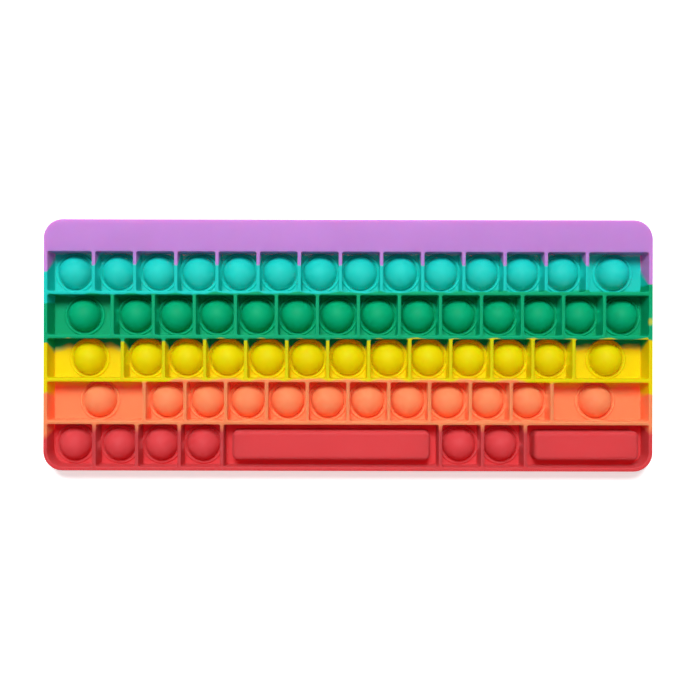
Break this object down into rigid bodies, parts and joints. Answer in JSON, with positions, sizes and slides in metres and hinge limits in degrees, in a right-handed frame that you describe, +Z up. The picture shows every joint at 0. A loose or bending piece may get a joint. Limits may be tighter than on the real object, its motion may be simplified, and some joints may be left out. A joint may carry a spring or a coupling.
{
  "type": "bubble-pop fidget keyboard",
  "caption": "Keyboard-shaped silicone bubble-pop toy: a shallow walled tray in six colour bands, with domes and long keys that push through to the back.",
  "frame": {"origin": "centre of the flat underside", "axes": "+X to the right along the length, +Y to the plain back strip, +Z up out of the cells"},
  "size_m": [0.31, 0.128, 0.0125],
  "materials": {
    "silicone_purple": "matte",
    "silicone_turquoise": "matte",
    "silicone_green": "matte",
    "silicone_yellow": "matte",
    "silicone_orange": "matte",
    "silicone_red": "matte"
  },
  "bodies": {
    "tray": {"band_purple": "silicone_purple", "band_turquoise": "silicone_turquoise", "band_green": "silicone_green", "band_yellow": "silicone_yellow", "band_orange": "silicone_orange", "band_red": "silicone_red"},
    "dome_r1_01": {"dome_r1_01": "silicone_turquoise"},
    "dome_r1_02": {"dome_r1_02": "silicone_turquoise"},
    "dome_r1_03": {"dome_r1_03": "silicone_turquoise"},
    "dome_r1_04": {"dome_r1_04": "silicone_turquoise"},
    "dome_r1_05": {"dome_r1_05": "silicone_turquoise"},
    "dome_r1_06": {"dome_r1_06": "silicone_turquoise"},
    "dome_r1_07": {"dome_r1_07": "silicone_turquoise"},
    "dome_r1_08": {"dome_r1_08": "silicone_turquoise"},
    "dome_r1_09": {"dome_r1_09": "silicone_turquoise"},
    "dome_r1_10": {"dome_r1_10": "silicone_turquoise"},
    "dome_r1_11": {"dome_r1_11": "silicone_turquoise"},
    "dome_r1_12": {"dome_r1_12": "silicone_turquoise"},
    "dome_r1_13_14": {"dome_r1_13_14": "silicone_turquoise"},
    "dome_r2_01": {"dome_r2_01": "silicone_green"},
    "dome_r2_02": {"dome_r2_02": "silicone_green"},
    "dome_r2_03": {"dome_r2_03": "silicone_green"},
    "dome_r2_04": {"dome_r2_04": "silicone_green"},
    "dome_r2_05": {"dome_r2_05": "silicone_green"},
    "dome_r2_06": {"dome_r2_06": "silicone_green"},
    "dome_r2_07": {"dome_r2_07": "silicone_green"},
    "dome_r2_08": {"dome_r2_08": "silicone_green"},
    "dome_r2_09": {"dome_r2_09": "silicone_green"},
    "dome_r2_10": {"dome_r2_10": "silicone_green"},
    "dome_r2_11": {"dome_r2_11": "silicone_green"},
    "dome_r2_12": {"dome_r2_12": "silicone_green"},
    "dome_r2_13_14": {"dome_r2_13_14": "silicone_green"},
    "dome_r3_01": {"dome_r3_01": "silicone_yellow"},
    "dome_r3_02": {"dome_r3_02": "silicone_yellow"},
    "dome_r3_03": {"dome_r3_03": "silicone_yellow"},
    "dome_r3_04": {"dome_r3_04": "silicone_yellow"},
    "dome_r3_05": {"dome_r3_05": "silicone_yellow"},
    "dome_r3_06": {"dome_r3_06": "silicone_yellow"},
    "dome_r3_07": {"dome_r3_07": "silicone_yellow"},
    "dome_r3_08": {"dome_r3_08": "silicone_yellow"},
    "dome_r3_09": {"dome_r3_09": "silicone_yellow"},
    "dome_r3_10": {"dome_r3_10": "silicone_yellow"},
    "dome_r3_11": {"dome_r3_11": "silicone_yellow"},
    "dome_r3_12_13": {"dome_r3_12_13": "silicone_yellow"},
    "dome_r4_01": {"dome_r4_01": "silicone_orange"},
    "dome_r4_02": {"dome_r4_02": "silicone_orange"},
    "dome_r4_03": {"dome_r4_03": "silicone_orange"},
    "dome_r4_04": {"dome_r4_04": "silicone_orange"},
    "dome_r4_05": {"dome_r4_05": "silicone_orange"},
    "dome_r4_06": {"dome_r4_06": "silicone_orange"},
    "dome_r4_07": {"dome_r4_07": "silicone_orange"},
    "dome_r4_08": {"dome_r4_08": "silicone_orange"},
    "dome_r4_09": {"dome_r4_09": "silicone_orange"},
    "dome_r4_10": {"dome_r4_10": "silicone_orange"},
    "dome_r4_11_12": {"dome_r4_11_12": "silicone_orange"},
    "dome_r5_01_02": {"dome_r5_01_02": "silicone_red"},
    "dome_r5_03_04": {"dome_r5_03_04": "silicone_red"},
    "dome_r5_05_06": {"dome_r5_05_06": "silicone_red"},
    "space_bar": {"space_bar": "silicone_red"},
    "wide_key": {"wide_key": "silicone_red"}
  },
  "joints": [
    {"name": "dome_r1_01_press", "type": "slide", "parent": "tray", "child": "dome_r1_01", "axis": [0, 0, -1], "range_m": [0, 0.0168]},
    {"name": "dome_r1_02_press", "type": "slide", "parent": "tray", "child": "dome_r1_02", "axis": [0, 0, -1], "range_m": [0, 0.0168]},
    {"name": "dome_r1_03_press", "type": "slide", "parent": "tray", "child": "dome_r1_03", "axis": [0, 0, -1], "range_m": [0, 0.0168]},
    {"name": "dome_r1_04_press", "type": "slide", "parent": "tray", "child": "dome_r1_04", "axis": [0, 0, -1], "range_m": [0, 0.0168]},
    {"name": "dome_r1_05_press", "type": "slide", "parent": "tray", "child": "dome_r1_05", "axis": [0, 0, -1], "range_m": [0, 0.0168]},
    {"name": "dome_r1_06_press", "type": "slide", "parent": "tray", "child": "dome_r1_06", "axis": [0, 0, -1], "range_m": [0, 0.0168]},
    {"name": "dome_r1_07_press", "type": "slide", "parent": "tray", "child": "dome_r1_07", "axis": [0, 0, -1], "range_m": [0, 0.0168]},
    {"name": "dome_r1_08_press", "type": "slide", "parent": "tray", "child": "dome_r1_08", "axis": [0, 0, -1], "range_m": [0, 0.0168]},
    {"name": "dome_r1_09_press", "type": "slide", "parent": "tray", "child": "dome_r1_09", "axis": [0, 0, -1], "range_m": [0, 0.0168]},
    {"name": "dome_r1_10_press", "type": "slide", "parent": "tray", "child": "dome_r1_10", "axis": [0, 0, -1], "range_m": [0, 0.0168]},
    {"name": "dome_r1_11_press", "type": "slide", "parent": "tray", "child": "dome_r1_11", "axis": [0, 0, -1], "range_m": [0, 0.0168]},
    {"name": "dome_r1_12_press", "type": "slide", "parent": "tray", "child": "dome_r1_12", "axis": [0, 0, -1], "range_m": [0, 0.0168]},
    {"name": "dome_r1_13_14_press", "type": "slide", "parent": "tray", "child": "dome_r1_13_14", "axis": [0, 0, -1], "range_m": [0, 0.0168]},
    {"name": "dome_r2_01_press", "type": "slide", "parent": "tray", "child": "dome_r2_01", "axis": [0, 0, -1], "range_m": [0, 0.0168]},
    {"name": "dome_r2_02_press", "type": "slide", "parent": "tray", "child": "dome_r2_02", "axis": [0, 0, -1], "range_m": [0, 0.0168]},
    {"name": "dome_r2_03_press", "type": "slide", "parent": "tray", "child": "dome_r2_03", "axis": [0, 0, -1], "range_m": [0, 0.0168]},
    {"name": "dome_r2_04_press", "type": "slide", "parent": "tray", "child": "dome_r2_04", "axis": [0, 0, -1], "range_m": [0, 0.0168]},
    {"name": "dome_r2_05_press", "type": "slide", "parent": "tray", "child": "dome_r2_05", "axis": [0, 0, -1], "range_m": [0, 0.0168]},
    {"name": "dome_r2_06_press", "type": "slide", "parent": "tray", "child": "dome_r2_06", "axis": [0, 0, -1], "range_m": [0, 0.0168]},
    {"name": "dome_r2_07_press", "type": "slide", "parent": "tray", "child": "dome_r2_07", "axis": [0, 0, -1], "range_m": [0, 0.0168]},
    {"name": "dome_r2_08_press", "type": "slide", "parent": "tray", "child": "dome_r2_08", "axis": [0, 0, -1], "range_m": [0, 0.0168]},
    {"name": "dome_r2_09_press", "type": "slide", "parent": "tray", "child": "dome_r2_09", "axis": [0, 0, -1], "range_m": [0, 0.0168]},
    {"name": "dome_r2_10_press", "type": "slide", "parent": "tray", "child": "dome_r2_10", "axis": [0, 0, -1], "range_m": [0, 0.0168]},
    {"name": "dome_r2_11_press", "type": "slide", "parent": "tray", "child": "dome_r2_11", "axis": [0, 0, -1], "range_m": [0, 0.0168]},
    {"name": "dome_r2_12_press", "type": "slide", "parent": "tray", "child": "dome_r2_12", "axis": [0, 0, -1], "range_m": [0, 0.0168]},
    {"name": "dome_r2_13_14_press", "type": "slide", "parent": "tray", "child": "dome_r2_13_14", "axis": [0, 0, -1], "range_m": [0, 0.0168]},
    {"name": "dome_r3_01_press", "type": "slide", "parent": "tray", "child": "dome_r3_01", "axis": [0, 0, -1], "range_m": [0, 0.0168]},
    {"name": "dome_r3_02_press", "type": "slide", "parent": "tray", "child": "dome_r3_02", "axis": [0, 0, -1], "range_m": [0, 0.0168]},
    {"name": "dome_r3_03_press", "type": "slide", "parent": "tray", "child": "dome_r3_03", "axis": [0, 0, -1], "range_m": [0, 0.0168]},
    {"name": "dome_r3_04_press", "type": "slide", "parent": "tray", "child": "dome_r3_04", "axis": [0, 0, -1], "range_m": [0, 0.0168]},
    {"name": "dome_r3_05_press", "type": "slide", "parent": "tray", "child": "dome_r3_05", "axis": [0, 0, -1], "range_m": [0, 0.0168]},
    {"name": "dome_r3_06_press", "type": "slide", "parent": "tray", "child": "dome_r3_06", "axis": [0, 0, -1], "range_m": [0, 0.0168]},
    {"name": "dome_r3_07_press", "type": "slide", "parent": "tray", "child": "dome_r3_07", "axis": [0, 0, -1], "range_m": [0, 0.0168]},
    {"name": "dome_r3_08_press", "type": "slide", "parent": "tray", "child": "dome_r3_08", "axis": [0, 0, -1], "range_m": [0, 0.0168]},
    {"name": "dome_r3_09_press", "type": "slide", "parent": "tray", "child": "dome_r3_09", "axis": [0, 0, -1], "range_m": [0, 0.0168]},
    {"name": "dome_r3_10_press", "type": "slide", "parent": "tray", "child": "dome_r3_10", "axis": [0, 0, -1], "range_m": [0, 0.0168]},
    {"name": "dome_r3_11_press", "type": "slide", "parent": "tray", "child": "dome_r3_11", "axis": [0, 0, -1], "range_m": [0, 0.0168]},
    {"name": "dome_r3_12_13_press", "type": "slide", "parent": "tray", "child": "dome_r3_12_13", "axis": [0, 0, -1], "range_m": [0, 0.0168]},
    {"name": "dome_r4_01_press", "type": "slide", "parent": "tray", "child": "dome_r4_01", "axis": [0, 0, -1], "range_m": [0, 0.0168]},
    {"name": "dome_r4_02_press", "type": "slide", "parent": "tray", "child": "dome_r4_02", "axis": [0, 0, -1], "range_m": [0, 0.0168]},
    {"name": "dome_r4_03_press", "type": "slide", "parent": "tray", "child": "dome_r4_03", "axis": [0, 0, -1], "range_m": [0, 0.0168]},
    {"name": "dome_r4_04_press", "type": "slide", "parent": "tray", "child": "dome_r4_04", "axis": [0, 0, -1], "range_m": [0, 0.0168]},
    {"name": "dome_r4_05_press", "type": "slide", "parent": "tray", "child": "dome_r4_05", "axis": [0, 0, -1], "range_m": [0, 0.0168]},
    {"name": "dome_r4_06_press", "type": "slide", "parent": "tray", "child": "dome_r4_06", "axis": [0, 0, -1], "range_m": [0, 0.0168]},
    {"name": "dome_r4_07_press", "type": "slide", "parent": "tray", "child": "dome_r4_07", "axis": [0, 0, -1], "range_m": [0, 0.0168]},
    {"name": "dome_r4_08_press", "type": "slide", "parent": "tray", "child": "dome_r4_08", "axis": [0, 0, -1], "range_m": [0, 0.0168]},
    {"name": "dome_r4_09_press", "type": "slide", "parent": "tray", "child": "dome_r4_09", "axis": [0, 0, -1], "range_m": [0, 0.0168]},
    {"name": "dome_r4_10_press", "type": "slide", "parent": "tray", "child": "dome_r4_10", "axis": [0, 0, -1], "range_m": [0, 0.0168]},
    {"name": "dome_r4_11_12_press", "type": "slide", "parent": "tray", "child": "dome_r4_11_12", "axis": [0, 0, -1], "range_m": [0, 0.0168]},
    {"name": "dome_r5_01_02_press", "type": "slide", "parent": "tray", "child": "dome_r5_01_02", "axis": [0, 0, -1], "range_m": [0, 0.0168]},
    {"name": "dome_r5_03_04_press", "type": "slide", "parent": "tray", "child": "dome_r5_03_04", "axis": [0, 0, -1], "range_m": [0, 0.0168]},
    {"name": "dome_r5_05_06_press", "type": "slide", "parent": "tray", "child": "dome_r5_05_06", "axis": [0, 0, -1], "range_m": [0, 0.0168]},
    {"name": "space_bar_press", "type": "slide", "parent": "tray", "child": "space_bar", "axis": [0, 0, -1], "range_m": [0, 0.018]},
    {"name": "wide_key_press", "type": "slide", "parent": "tray", "child": "wide_key", "axis": [0, 0, -1], "range_m": [0, 0.018]}
  ]
}
